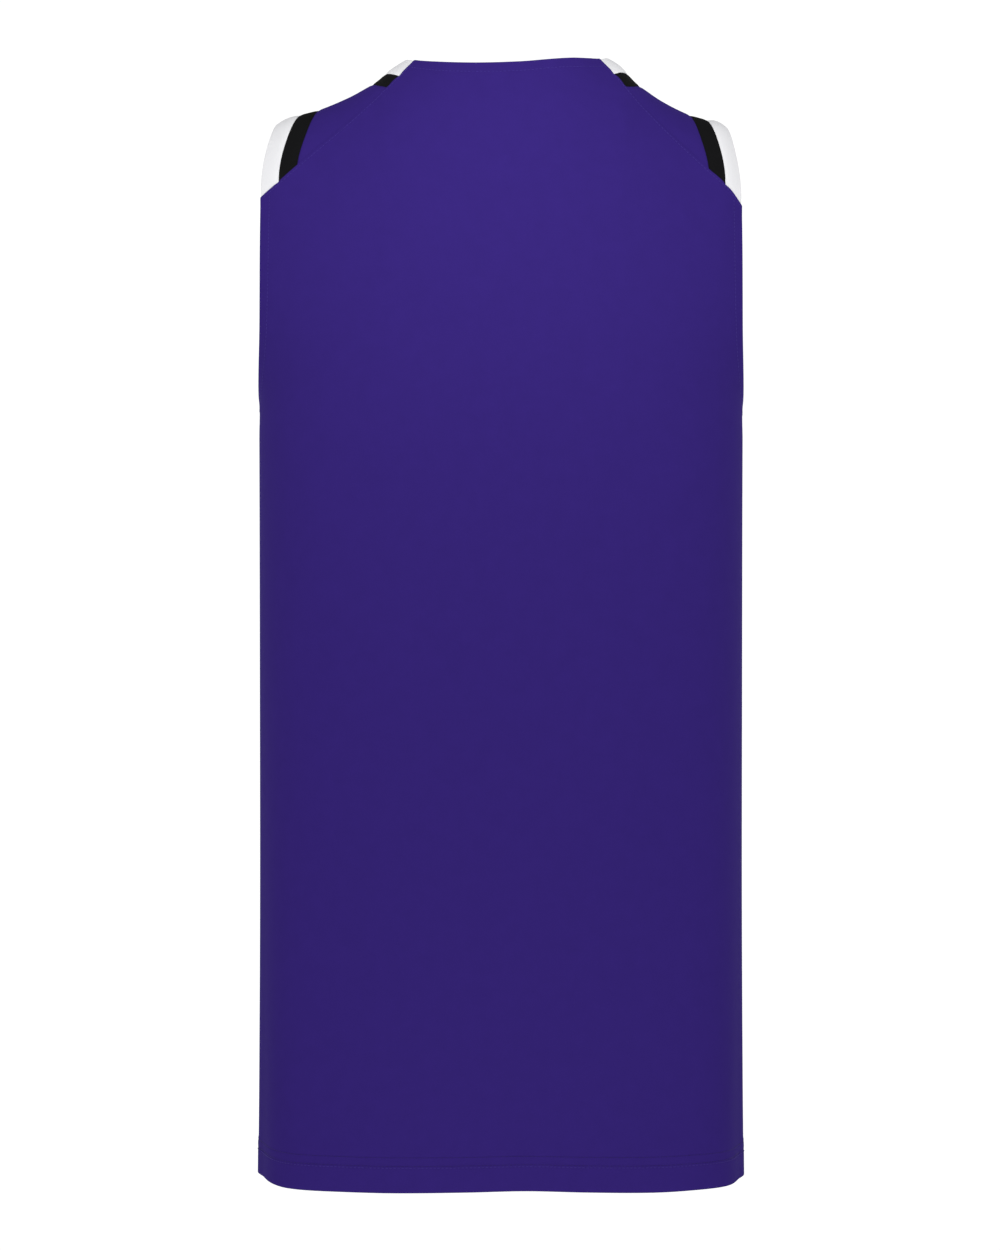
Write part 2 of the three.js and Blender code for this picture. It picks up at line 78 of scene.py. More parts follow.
# How much higher or lower than the even form its shoulders and its hem sit, from the wearer's right to
# the left. The shoulders' share fades down to where the cloth hangs plumb, the hem's above the hem.
SHOULDER_SETTLE = {
    "across": (-190, -172, -163, -155, -145, -120, -98, -89, -80, -66, -58, -45, -28, -10, 6, 190),
    "height": (-8, -7.5, -3, -2.3, -3.5, -3.2, -1.5, -0.4, 1.3, 0.9, 2, 3.1, 2.5, 0.8, 0, 0),
}
HEM_SETTLE = {
    "across": (-175, -145, -108, -60, -17, 25, 73, 110, 150, 167, 175),
    "height": (0, 0, -1, -0.3, 0.8, -0.2, -0.9, -0.6, 0, 1.7, 1.8),
}
HEM_SETTLE_FROM = 720  # depth at which the hem's share starts

# The closed form that the pieces are cut from, by depth under the shoulder line. Its rings are
# superellipses that may be blunter at the front and back than at the side seams.
RINGS = {
    "level": (-800, -730, -600, -450, -330, -260, -229.5, -205, -170, -120, -60, 0),
    "half_width": (174.6, 173.9, 173.2, 173.2, 173.3, 173.4, 173.5, 177.5, 185, 192, 196, 195),
    "back": (102, 101, 101, 105, 110, 113, 114, 114, 114, 114, 113, 112),
    "front": (100, 100, 102, 108, 115, 118, 118, 117, 115, 112, 108, 105),
    "power": (3.8, 3.7, 3.5, 3.3, 3.1, 2.9, 2.8, 2.75, 2.7, 2.65, 2.6, 2.6),
    "side_power": (2.1, 2.2, 2.4, 2.6, 2.7, 2.8, 2.8, 2.75, 2.7, 2.65, 2.6, 2.6),
}
SIDE_FROM = math.radians(40)
SIDE_FULL = math.radians(80)

# Height of the shoulder line. Inside the neck hole it is only the form's own crown.
SHOULDER_LINE = {
    "across": (0, 35, 58, 74, 84, 92, 101, 112, 131, 144, 155, 165, 182, 198),
    "height": (30, 22.5, 9.6, 0.2, -6.4, -13.8, -19.6, -25.8, -34.1, -37.8, -40.8, -47.5, -62, -78),
}

# The armhole's edge, as seen from the back and from the front
BACK_ARM_EDGE = {
    "height": (-245, -225, -200, -170, -135, -103, -85, -72, -60, -50, -45),
    "across": (173.5, 172.2, 170.9, 170.5, 170.5, 170.4, 170, 168.5, 166, 163.4, 161.5),
}
FRONT_ARM_EDGE = {
    "height": (-245, -232, -210, -180, -145, -110, -80, -60, -45),
    "across": (173.5, 171.8, 167.5, 163.5, 161.6, 161.8, 163, 162.8, 161.5),
}

# The back neckline out to the shoulder line, and the slanting seam from its corner to the armhole
BACK_NECK = {
    "across": (0, 25, 45, 66, 74),
    "height": (-7.8, -7.7, -6.3, -2.7, 0.2),
}
BACK_SEAM = {
    "across": (58, 66, 83.5, 111, 144.5, 158, 170.6, 185),
    "height": (7.7, -2.7, -21.9, -48.7, -78.8, -91.3, -102.4, -117),
}

# Soft folds in the hanging cloth. Each is a shallow trough or, where its depth is negative, a swell
# that runs between two points and fades out at both ends and to both sides. The first ones are in the
# CAD too, and the finer creases after them only here.
Fold = namedtuple("Fold", "side across top foot_across foot width depth")
FOLDS = (
    Fold(BACK, 122, -540, 128, -830, 46, 3.2),
    Fold(BACK, -128, -390, -112, -830, 50, 3.4),
    Fold(BACK, 8, -600, 2, -840, 70, -2.2),
    Fold(BACK, -14, -410, -24, -600, 22, 0.9),
    Fold(BACK, -60, -330, -138, -250, 26, 1.2),
    Fold(BACK, 64, -350, 140, -270, 26, 1.1),
    Fold(FRONT, 96, -300, 118, -830, 48, 3.4),
    Fold(FRONT, -90, -330, -116, -830, 46, 3.2),
    Fold(FRONT, -6, -420, 10, -840, 74, -2.4),
    Fold(FRONT, 52, -210, 134, -270, 24, 1.4),
    Fold(FRONT, -52, -210, -134, -270, 24, 1.4),
)
CREASES = (
    Fold(BACK, -12, -415, -22, -465, 9, 0.5),
    Fold(BACK, -26, -500, -32, -590, 10, 0.45),
    Fold(BACK, 114, -420, 122, -520, 12, 0.5),
    Fold(BACK, -74, -430, -150, -290, 13, 0.55),
    Fold(BACK, 30, -620, 44, -760, 16, 0.4),
    Fold(BACK, -58, -640, -66, -780, 18, 0.45),
    Fold(BACK, 92, -590, 84, -740, 14, 0.35),
    Fold(BACK, -150, -300, -158, -420, 12, 0.5),
    Fold(BACK, 150, -290, 158, -430, 12, 0.5),
    Fold(FRONT, 18, -430, 26, -520, 10, 0.5),
    Fold(FRONT, 84, -450, 150, -300, 13, 0.6),
    Fold(FRONT, -78, -440, -148, -305, 13, 0.6),
    Fold(FRONT, -34, -560, -40, -690, 12, 0.45),
    Fold(FRONT, 56, -600, 50, -750, 16, 0.45),
    Fold(FRONT, -150, -300, -158, -430, 12, 0.5),
    Fold(FRONT, 152, -310, 159, -420, 12, 0.5),
)
FOLD_FADE = 2  # how quickly they fade to both sides

# How fine the meshes are
BACK_NECK_COLUMNS = 20
LAP_COLUMNS = 34
FRONT_NECK_COLUMNS = 26
BAND_COLUMNS = (6, 5)  # white, black

# The same for runs with extra rows near their ends: how many steps a run has, and about its length
BACK_ROWS = (170, 700)
FRONT_ROWS = (170, 650)
BACK_ARM_COLUMNS = (28, 145)
CHEST_COLUMNS = (22, 60)
FRONT_ARM_COLUMNS = (26, 110)
STRAP_ROWS = (70, 270)
NECK_BAND_ROWS = (92, 250)
ARM_BAND_ROWS = (104, 350)
CLOSE_STEPS = 0.4  # an even share closer than this many steps to an extra one is left out

NECK_FOOT_SHARE = 6 / 16  # of a neck line's front part, how much lies under the chest line
ARM_FOOT_SHARE = 7 / 17

# How finely curves are worked out
CURVE_SAMPLES = 360
END_CROWDING = 3  # how strongly they crowd towards a curve's ends
TRACE_STEP = 2
TURN_SPACING = 40  # a bend of one radian counts as this much length when a curve is shared out
BESIDE_STEPS = 5
HALVINGS = 40
SLOPE_STEP = 1e-4
TINY = 1e-12  # keeps a vector of no length from dividing by nothing
SEAM_STEP = 0.5
FINE_SHARES = np.linspace(0, 1, 300)  # of a run that is measured or shared out again
WELD = 0.02  # vertices of neighbouring patches that lie closer than this are one
GRAIN_COLUMNS = 64
GRAIN_ROWS = 240
GRAIN_MARGIN = 10  # how far past the hem the grain is measured

# Times these, places stay on the wearer's left, change to the right, or change from front to back
LEFT = np.array([1, 1])
RIGHT = np.array([-1, 1])
BEHIND = np.array([1, -1])

# Sewn edges
EDGE_ROWS = (0.9, 2.2, 4.5)  # distances from a seam at which a sheet has extra rows
SEAM_ROLL = 0.55  # how far cloth rolls in at a plain seam
SEAM_ROLL_WIDTH = 1.5
LAP_RISE = 0.35  # the back panel's edge lies over the shoulders' ends
LAP_SINK = 0.55
LAP_WIDTH = 5
ALLOWANCE = 1.6  # how far a seam's edges are turned in
ALLOWANCE_LEAN = 0.12
ALLOWANCE_ROWS = (0, 0.3, 0.65, 1)
TURNED_ROWS = (1.5, 4, 6.5, 9)  # the turned edge of the back neck and armholes
TURNED_STITCH = 8
LAP_ROWS = (1, 2.5, 4)
LAP_STITCH = 2
EDGE_RADIUS = 0.65  # of the fold along a turned edge
EDGE_STEPS = 5

# Rings of vertices near the hem, as heights over its fold: close together at the stitch rows
HEM_ROWS = (0.6, 1.8, 4, 7, 11, 15, 17, 17.9, 18.6, 19.3, 20.2, 22.2, 23.4, 24, 24.5, 25, 25.7, 27.5, 31)
HEM_INSIDE_ROWS = (3, 8, 14, 20, HEM_DEPTH)
HEM_STEP = 2  # height over which the hem's two layers level out
HEM_GROOVE = 0.35
HEM_GROOVE_WIDTH = 0.65

# The knit, in metres: the pitch of its upright wales and of the rows of loops, and what varies them
WALE = 0.0008
COURSE = 0.0006
COURSE_SLANT = 0.5
WALE_SHARE = 0.6  # how much the wales count in the loops' height
LOOP_SHADE = 0.3  # how much the loops, the speckle and the mottle count in the shade
SPECKLE_SHADE = 0.45
MOTTLE_SHADE = 0.25
SPECKLE_BUMP = 0.4
SPECKLE_ROUGHNESS = 0.12
KNIT_ROUGHNESS = 0.8
WOBBLE = 0.5
WOBBLE_SCALE = 60
SPECKLE_NOISE = (900, 3.0, 0.7)  # scale, detail, roughness
MOTTLE_SCALE = 90
KNIT_BUMP = 0.35
KNIT_DEPTH = 0.00015
STITCH_SEGMENTS = 6  # around each stitch
STITCH_RINGS = 4
STITCH_SHARE = 0.8  # how much of a stitch's pitch its thread shows for
STITCH_RISE = 0.35  # how far a stitch's middle stands out, as a share of half its thickness
PLY_SCALE = 2500
THREAD_SPREAD = 0.2
THREAD_ROUGHNESS = 0.6
THREAD_SPECULAR = 0.15

# How far each knit's shade varies, and its sheen
PURPLE_SPREAD = 0.2
WHITE_SPREAD = 0.04
BLACK_SPREAD = 0.25
PURPLE_SHEEN = 0.05
BAND_SHEEN = 0.0
SHEEN_LIFT = 2.5  # the sheen's colour is the knit's own, this much lighter
SHEEN_ROUGHNESS = 0.5
KNIT_SPECULAR = 0.02

PANEL_SLOT = "purple_knit"  # handed to both panels' finish

# What each piece measured before it was sewn: its width and length, and its area, in metres
Cut = namedtuple("Cut", "flat area")
BACK_CUT = Cut((0.53, 0.84), 0.39)
FRONT_CUT = Cut((0.53, 0.87), 0.36)
NECK_CUTS = (Cut((0.036, 0.46), 0.0162), Cut((0.016, 0.47), 0.0075))
ARM_CUTS = (Cut((0.037, 0.38), 0.0136), Cut((0.018, 0.37), 0.0066))

CEILING_FROM = 0.16  # how steeply a view looks up where the ceiling starts, as its height over its length
CEILING_FULL = 0.6
SIDE_GAIN = 0.36  # how much brighter the room is straight to the sides
BEHIND_LOSS = 0.134  # and how much darker behind the camera
FLOOR_RADIUS = 2.3
FLOOR_SEGMENTS = 96
FLOOR_ROUGHNESS = 0.9
FLOOR_COLOUR = (0.88, 0.88, 0.88)
FLOOR_SPREAD = 0.03
FLOOR_SCALE = 3.0
CAMERA_ASIDE = 0.0007

Lamp = namedtuple("Lamp", "name place target size spread")
YOKE_LAMP = Lamp("yoke_light", (0, 0.55, 0.12), (0, 0.05, -0.12), 0.35, math.pi)
HEM_LAMP = Lamp("hem_light", (0, 1, -0.98), (0, 0.05, -0.78), 0.3, QUARTER)

# A colour mix's sockets, which share their names with those for numbers
MIX_A = 6
MIX_B = 7
MIX_RESULT = 2


def through(table, column):
    """A smooth function from a table's first column to another one."""
    at = np.array(next(iter(table.values())), float)
    value = np.array(table[column], float)
    rows = np.arange(len(at))
    before = np.maximum(rows - 1, 0)
    after = np.minimum(rows + 1, len(at) - 1)
    slopes = (value[after] - value[before]) / (at[after] - at[before])

    def smooth(x):
        low = np.clip(np.searchsorted(at, x, side="right") - 1, 0, len(at) - 2)
        span = at[low + 1] - at[low]
        t = np.clip((x - at[low]) / span, 0, 1)
        rise = value[low + 1] - value[low]
        bend = (1 - t) * (slopes[low] * span - rise) - t * (slopes[low + 1] * span - rise)
        return value[low] + t * rise + t * (1 - t) * bend

    return smooth


half_width_at = through(RINGS, "half_width")
back_depth_at = through(RINGS, "back")
front_depth_at = through(RINGS, "front")
ring_power_at = through(RINGS, "power")
side_power_at = through(RINGS, "side_power")
shoulder_height = through(SHOULDER_LINE, "height")
shoulder_settle = through(SHOULDER_SETTLE, "height")
hem_settle = through(HEM_SETTLE, "height")
back_arm_across = through(BACK_ARM_EDGE, "across")
front_arm_across = through(FRONT_ARM_EDGE, "across")
back_neck_height = through(BACK_NECK, "height")
seam_height = through(BACK_SEAM, "height")


def smoothstep(x, low, high):
    t = np.clip((x - low) / (high - low), 0, 1)
    return t * t * (3 - 2 * t)


def rounded(angle, power):
    """The point of a unit superellipse at a polar angle, as how far across and how far along it is."""
    sine, cosine = np.sin(angle), np.cos(angle)
    reach = (np.abs(sine) ** power + np.abs(cosine) ** power) ** (-1 / power)
    return sine * reach, cosine * reach


def ring_point(around, level):
    share = smoothstep(np.abs(around), SIDE_FROM, SIDE_FULL)
    power = ring_power_at(level) * (1 - share) + side_power_at(level) * share
    return rounded(around, power)


def fold_depth(folds, side, across, height):
    """How far the folds push the cloth in."""
    depth = np.zeros_like(across)
    for fold in folds:
        run_across, run_down = fold.foot_across - fold.across, fold.foot - fold.top
        length = math.hypot(run_across, run_down)
        from_across, from_top = across - fold.across, height - fold.top
        along = (from_across * run_across + from_top * run_down) / length**2
        aside = (from_across * run_down - from_top * run_across) / length / fold.width
        fade = np.where((along > 0) & (along < 1) & (side == fold.side), np.sin(math.pi * along), 0)
        depth += fold.depth * fade * np.exp(-FOLD_FADE * aside**2)
    return depth


Layout = namedtuple("Layout", "arch_out arch_up level ring_along across height")


def layout(places):
    """Where places lie before the garment's own lean."""
    turn = np.abs(places[..., 1])
    out, up = rounded(np.minimum(turn, QUARTER), ARCH_POWER)
    over = turn < QUARTER
    arch_out, arch_up = np.where(over, out, 1), np.where(over, up, 0)
    level = ARCH_DEPTH * (np.where(over, up, QUARTER - turn) - 1)
    ring_across, ring_along = ring_point(places[..., 0], level)
    across = half_width_at(level) * ring_across
    height = level + shoulder_height(np.abs(across)) * arch_up
    return Layout(arch_out, arch_up, level, ring_along, across, height)


def cloth(places, folds=FOLDS):
    """The points of the cloth's outer face, in millimetres."""
    at = layout(places)
    side = np.where(places[..., 1] < 0, BACK, FRONT)
    depth = np.where(side == BACK, back_depth_at(at.level), front_depth_at(at.level))
    out = at.ring_along * (depth * at.arch_out - fold_depth(folds, side, at.across, at.height))
    shift = YOKE_SHIFT * np.maximum(0, 1 - np.abs(at.across / HALF_WIDTH) ** SHIFT_FADE)
    hem_share = smoothstep(-at.level, HEM_SETTLE_FROM, BODY_LENGTH)
    settle = shoulder_settle(at.across) * at.arch_up + hem_settle(at.across) * hem_share
    return np.stack([at.across - shift * at.arch_up, -side * out, at.height + settle], axis=-1)


def directions(places):
    """The directions over the cloth: further around, and further over the shoulder."""
    steps = np.eye(2) * SLOPE_STEP
    return [(cloth(places + step) - cloth(places - step)) / (2 * SLOPE_STEP) for step in steps]


def unit(vectors):
    return vectors / np.maximum(np.linalg.norm(vectors, axis=-1, keepdims=True), TINY)


def outward(places):
    around, over = directions(places)
    return unit(np.cross(over, around))


def spot(across, height, side):
    """The places that are seen at distances across and heights, from the front or from the back."""
    crown = shoulder_height(np.abs(across))
    level = np.where(height > -ARCH_DEPTH, (height - crown) / (1 + crown / ARCH_DEPTH), height)
    rise = np.minimum(1, 1 + level / ARCH_DEPTH)
    fall = (1 - np.maximum(0, rise) ** ARCH_POWER) ** (1 / ARCH_POWER)
    turn = np.where(rise > 0, np.arctan2(fall, rise), QUARTER - rise)
    low, high = np.zeros_like(level), np.full_like(level, QUARTER)
    for _ in range(HALVINGS):
        middle = (low + high) / 2
        short = half_width_at(level) * ring_point(middle, level)[0] < np.abs(across)
        low, high = np.where(short, middle, low), np.where(short, high, middle)
    return np.stack([np.sign(across) * high, side * turn], axis=-1)


def trace(place_at):
    """Places along a curve, every few millimetres and closest at its ends."""
    t = np.linspace(0, 1, CURVE_SAMPLES + 1)
    from_start, from_end = t**END_CROWDING, (1 - t) ** END_CROWDING
    places = place_at(from_start / (from_start + from_end))
    points = cloth(places)
    kept = [0]
    for i in range(1, len(places)):
        if np.linalg.norm(points[i] - points[kept[-1]]) > TRACE_STEP:
            kept.append(i)
    kept[-1] = CURVE_SAMPLES
    return places[kept]


def share_out(curve, fractions):
    """The places at shares of a curve's length, where bends count as extra length."""
    steps = np.diff(cloth(curve), axis=0)
    headings = unit(steps)
    turns = np.arccos(np.clip((headings[1:] * headings[:-1]).sum(axis=-1), -1, 1))
    lengths = np.linalg.norm(steps, axis=-1) + TURN_SPACING * np.append(0, turns)
    run = np.append(0, np.cumsum(lengths))
    target = np.asarray(fractions) * run[-1]
    return np.stack([np.interp(target, run, curve[:, 0]), np.interp(target, run, curve[:, 1])], axis=-1)


def beside(curve, distance):
    """The curve that lies to the right of another, one distance or one for each place over the cloth."""
    points = cloth(curve)
    tangent = unit(np.concatenate([points[1:], points[-1:]]) - np.concatenate([points[:1], points[:-1]]))
    places = curve.copy()
    for _ in range(BESIDE_STEPS):
        around, over = directions(places)
        move = unit(np.cross(tangent, np.cross(over, around))) * distance / BESIDE_STEPS
        aa, ab, bb = (around * around).sum(-1), (around * over).sum(-1), (over * over).sum(-1)
        am, bm = (around * move).sum(-1), (over * move).sum(-1)
        whole = aa * bb - ab * ab
        places[:, 0] += (am * bb - bm * ab) / whole
        places[:, 1] += (bm * aa - am * ab) / whole
    return places


def over_shoulder(curve):
    """A curve that starts on the front, as two parts: up to the shoulder line, and on to the seam."""
    front, behind = curve[curve[:, 1] > 0], curve[curve[:, 1] < 0]
    rise = front[-1, 1] / (front[-1, 1] - behind[0, 1])
    ridge = front[-1] + (behind[0] - front[-1]) * rise

    def past_seam(places):
        at = layout(places)
        return at.height < seam_height(at.across)

    last = int(np.argmax(past_seam(behind)))
    near, far = behind[last - 1], behind[last]
    for _ in range(HALVINGS):
        middle = (near + far) / 2
        near, far = (near, middle) if past_seam(middle) else (middle, far)
    return np.vstack([front, ridge]), np.vstack([ridge, behind[:last], near])


def across_at(place):
    return float(layout(place).across)


def arm_height(t):
    return -UNDERARM + (shoulder_height(SHOULDER_TIP) + UNDERARM) * t


def armhole_edge():
    """The armhole's edge on the wearer's left: from the side seam up the front and over to the back."""
    front = trace(lambda t: spot(front_arm_across(arm_height(t)), arm_height(t), FRONT))
    back = trace(lambda t: spot(back_arm_across(arm_height(1 - t)), arm_height(1 - t), BACK))
    return np.vstack([front, back[1:]])


def neck_edge():
    """The neck's edge on that side: from the middle of the front and over to the middle of the back."""
    top = float(shoulder_height(NECK_HALF_WIDTH))

    def front_place(t):
        angle = QUARTER * (1 - t)
        height = top - (FRONT_NECK_DEPTH + top) * np.sin(angle)
        return spot(NECK_HALF_WIDTH * np.cos(angle), height, FRONT)

    def back_place(t):
        across = NECK_HALF_WIDTH * (1 - t)
        return spot(across, back_neck_height(across), BACK)

    return np.vstack([trace(front_place), trace(back_place)[1:]])


Line = namedtuple("Line", "front back")


def in_one(line):
    return np.vstack([line.front, line.back[1:]])


def band_lines(edge, bands, bands_at_seam, side, start_around):
    """The bands' edges, the garment's own edge first. Behind the shoulder line they may narrow."""
    seam_turn = over_shoulder(edge)[1][-1, 1]
    share = smoothstep(edge[:, 1:] / seam_turn, 0, 1)
    lines = []
    for i in range(len(bands) + 1):
        line = beside(edge, side * (sum(bands[:i]) * (1 - share) + sum(bands_at_seam[:i]) * share))
        line[0, 0] = start_around
        lines.append(Line(*over_shoulder(line)))
    return lines


arm_lines = band_lines(armhole_edge(), ARM_BANDS, ARM_BANDS_AT_SEAM, -1, QUARTER)
neck_lines = band_lines(neck_edge(), NECK_BANDS, NECK_BANDS, 1, 0)


def turn_at(level):
    return QUARTER - (level + ARCH_DEPTH) / ARCH_DEPTH


def ring_row(level, side, fractions):
    def place_at(t):
        return np.stack([QUARTER * t, np.full_like(t, side * turn_at(level))], axis=-1)
    return share_out(trace(place_at), fractions)


def straight(start, end, fractions):
    """Places on a straight run in the form's own coordinates."""
    t = np.asarray(fractions)[:, None]
    return start + (end - start) * t


def seam_run(from_across, to_across, fractions):
    def place_at(t):
        across = from_across + (to_across - from_across) * t
        return spot(across, seam_height(across), BACK)
    return share_out(trace(place_at), fractions)


def fill(near, far, start, finish, s, t):
    """The places between four rows: near and far run along s, start and finish along t."""
    s, t = np.asarray(s)[None, :, None], np.asarray(t)[:, None, None]
    across = start[:, None] * (1 - s) + finish[:, None] * s
    along = near[None] * (1 - t) + far[None] * t
    low = near[0] * (1 - s) + near[-1] * s
    high = far[0] * (1 - s) + far[-1] * s
    return across + along - (low * (1 - t) + high * t)


def even_shares(count):
    return np.linspace(0, 1, count + 1)


def shares(count, length, low=(), high=()):
    """Even shares of a length, with extra ones at distances from its low and high ends."""
    even = even_shares(count)
    extra = np.concatenate([np.array(low) / length, 1 - np.array(high) / length])
    close = np.min(np.abs(even[:, None] - extra), axis=1) < CLOSE_STEPS / count
    close[[0, -1]] = False
    return np.unique(np.concatenate([even[~close], extra]))


class Grain:
    """Lengths over the cloth, around from its middle and up from the hem, for patterns that follow it."""

    def __init__(self):
        end = turn_at(-BODY_LENGTH - GRAIN_MARGIN)
        self.around = np.linspace(0, QUARTER, GRAIN_COLUMNS)
        self.over = np.linspace(-end, end, GRAIN_ROWS)
        points = cloth(np.stack(np.meshgrid(self.around, self.over), axis=-1), ())
        steps_around = np.linalg.norm(np.diff(points, axis=1), axis=-1)
        steps_over = np.linalg.norm(np.diff(points, axis=0), axis=-1)
        self.lengths = np.stack([
            np.pad(np.cumsum(steps_around, axis=1), ((0, 0), (1, 0))),
            np.pad(np.cumsum(steps_over, axis=0), ((1, 0), (0, 0))),
        ], axis=-1)

    def __call__(self, places):
        a = np.abs(places[..., 0]) / QUARTER * (len(self.around) - 1)
        b = (places[..., 1] - self.over[0]) / (self.over[-1] - self.over[0]) * (len(self.over) - 1)
        i = np.clip(a.astype(int), 0, len(self.around) - 2)
        j = np.clip(b.astype(int), 0, len(self.over) - 2)
        p, q = (a - i)[..., None], (b - j)[..., None]
        low = self.lengths[j, i] * (1 - p) + self.lengths[j, i + 1] * p
        high = self.lengths[j + 1, i] * (1 - p) + self.lengths[j + 1, i + 1] * p
        found = low * (1 - q) + high * q
        found[..., 0] *= np.sign(places[..., 0])
        return found


grain = Grain()


def both_sides(curve):
    return [curve, curve * RIGHT]


def run_along(points):
    """How far along a run each of its points lies."""
    return np.append(0, np.cumsum(np.linalg.norm(np.diff(points, axis=0), axis=-1)))


def dense(curve):
    """A curve's points on both halves of the garment, close enough together to measure from."""
    length = run_along(cloth(curve))[-1]
    fine = share_out(curve, even_shares(int(length / SEAM_STEP) + 1))
    return np.vstack([cloth(side) for side in both_sides(fine)])


def tree_of(curves):
    """What finds the nearest point of some curves, on both halves of the garment."""
    points = np.vstack([dense(curve) for curve in curves])
    tree = KDTree(len(points))
    for i, point in enumerate(points):
        tree.insert(point, i)
    tree.balance()
    return tree


def distance_to(tree, points):
    flat = points.reshape(-1, 3)
    return np.array([tree.find(point)[2] for point in flat]).reshape(points.shape[:-1])


neck_corner, arm_corner = (across_at(lines[0].back[-1]) for lines in (neck_lines, arm_lines))
lap_tree = tree_of([seam_run(neck_corner, arm_corner, FINE_SHARES)])
side_top = arm_lines[0].front[0]
plain_seams = [in_one(line) for line in (*neck_lines[1:], *arm_lines[1:])]
plain_seams.append(straight(np.array([QUARTER, turn_at(-BODY_LENGTH)]), side_top, FINE_SHARES))
plain_tree = tree_of(plain_seams)


def sewn(places, lies_over):
    """How far the sewing moves the cloth out: in at plain seams, and up or down at the lapped one."""
    points = cloth(places)
    roll = SEAM_ROLL * np.exp(-((distance_to(plain_tree, points) / SEAM_ROLL_WIDTH) ** 2))
    lap = np.exp(-((distance_to(lap_tree, points) / LAP_WIDTH) ** 2))
    over_hem = layout(places).level + BODY_LENGTH
    hem = HEM_PROUD * (1 - smoothstep(over_hem, HEM_DEPTH, HEM_DEPTH + HEM_STEP))
    for height in HEM_STITCHES:
        hem = hem - HEM_GROOVE * np.exp(-(((over_hem - height) / HEM_GROOVE_WIDTH) ** 2))
    return hem - roll + (LAP_RISE if lies_over else -LAP_SINK) * lap


class Sheet:
    """A piece of cloth as a mesh that grows patch by patch, each one a grid moved on to the form."""

    def __init__(self, lies_over=False):
        self.mesh = bmesh.new()
        self.uv = self.mesh.loops.layers.uv.new("grain")
        self.lies_over = lies_over

    def surface(self, places):
        return cloth(places, FOLDS + CREASES) + outward(places) * sewn(places, self.lies_over)[..., None]

    def grid(self, points, uv):
        rows, columns = points.shape[:2]
        made = bmesh.ops.create_grid(self.mesh, x_segments=columns - 1, y_segments=rows - 1, size=0.5)
        spots = {}
        for vertex in made["verts"]:
            i = round((vertex.co.x + 0.5) * (columns - 1))
            j = round((vertex.co.y + 0.5) * (rows - 1))
            spots[vertex] = (j, i)
            vertex.co = points[j, i] * MM
        for face in {face for vertex in made["verts"] for face in vertex.link_faces}:
            for loop in face.loops:
                loop[self.uv].uv = uv[spots[loop.vert]] * MM

    def patch(self, places):
        """Cloth on the form itself."""
        self.grid(self.surface(places), grain(places))

    def turned(self, row, inner_rows):
        """Cloth that is folded over at an edge and lies against the inside, up to its inner rows."""
        start, normal = self.surface(row), outward(row)
        aside = unit(start - self.surface(inner_rows[0]))
        rows, uvs = [], []
        for angle in np.linspace(0, math.pi, EDGE_STEPS + 1):
            in_fold = aside * math.sin(angle) - normal * (1 - math.cos(angle))
            rows.append(start + in_fold * EDGE_RADIUS)
            uvs.append(grain(row) + angle * EDGE_RADIUS)
        for inner in inner_rows:
            rows.append(self.surface(inner) - outward(inner) * 2 * EDGE_RADIUS)
            uvs.append(grain(inner))
        self.grid(np.stack(rows), np.stack(uvs))

    def allowance(self, row, inner):
        """The narrow edge of cloth that is turned in at a seam."""
        start, normal = self.surface(row), outward(row)
        aside = unit(start - self.surface(inner))
        in_seam = aside * ALLOWANCE_LEAN - normal * ALLOWANCE
        rows = [start + in_seam * share for share in ALLOWANCE_ROWS]
        self.grid(np.stack(rows), np.stack([grain(row)] * len(rows)))

    def finish(self, node, slot, material, cut, with_pieces=()):
        """The finished piece, in place of its CAD node."""
        bmesh.ops.remove_doubles(self.mesh, verts=self.mesh.verts, dist=WELD * MM)
        bmesh.ops.recalc_face_normals(self.mesh, faces=self.mesh.faces)
        flat_out = Vector((1, 1, 0))
        facing = 0
        for face in self.mesh.faces:
            facing += face.calc_area() * face.normal.dot(face.calc_center_median() * flat_out)
        if facing < 0:
            bmesh.ops.reverse_faces(self.mesh, faces=self.mesh.faces)
        for face in self.mesh.faces:
            face.smooth = True
        piece = new_object(f"{node}_cloth", self.mesh, material)
        wall = piece.modifiers.new("Cloth thickness", "SOLIDIFY")
        wall.thickness = bpy.context.scene.jersey_sizes.cloth_thickness
        wall.offset = -1
        ride(piece)
        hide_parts(node)


def new_object(name, mesh, material):
    """An object at the origin from a finished bmesh."""
    data = bpy.data.meshes.new(name)
    mesh.to_mesh(data)
    mesh.free()
    data.materials.append(material)
    piece = bpy.data.objects.new(name, data)
    bpy.context.scene.collection.objects.link(piece)
    return piece


def ride(piece):
    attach(piece, "root")


def hem_runs(side, heights, fractions=FINE_SHARES):
    """Rows of places round the hem, at heights over its fold."""
    return np.stack([ring_row(height - BODY_LENGTH, side, fractions) for height in heights])


Body = namedtuple("Body", "rings inside rows")


def body_under(top, side, run):
    """Half of a panel's body: its rings at the hem, those turned inside, and its rows up to the top one."""
    lengths = run_along(cloth(top))
    columns, shares_up = lengths / lengths[-1], shares(*run, high=EDGE_ROWS)
    rings, inside = (hem_runs(side, heights, columns) for heights in (HEM_ROWS, HEM_INSIDE_ROWS))
    centre, seam = (share_out(straight(rings[-1][i], top[i], FINE_SHARES), shares_up) for i in (0, -1))
    return Body(rings, inside, fill(rings[-1], top, centre, seam, columns, shares_up))


def add_body(sheet, body, mirror):
    """A panel's body on one half, with its turned hem and the edge turned in at its side seam."""
    sheet.patch(body.rings * mirror)
    sheet.patch(body.rows * mirror)
    sheet.turned(body.rings[0] * mirror, body.inside * mirror)
    edge, inner = (np.vstack([body.rings[:-1, i], body.rows[:, i]]) for i in (-1, -2))
    sheet.allowance(edge * mirror, inner * mirror)


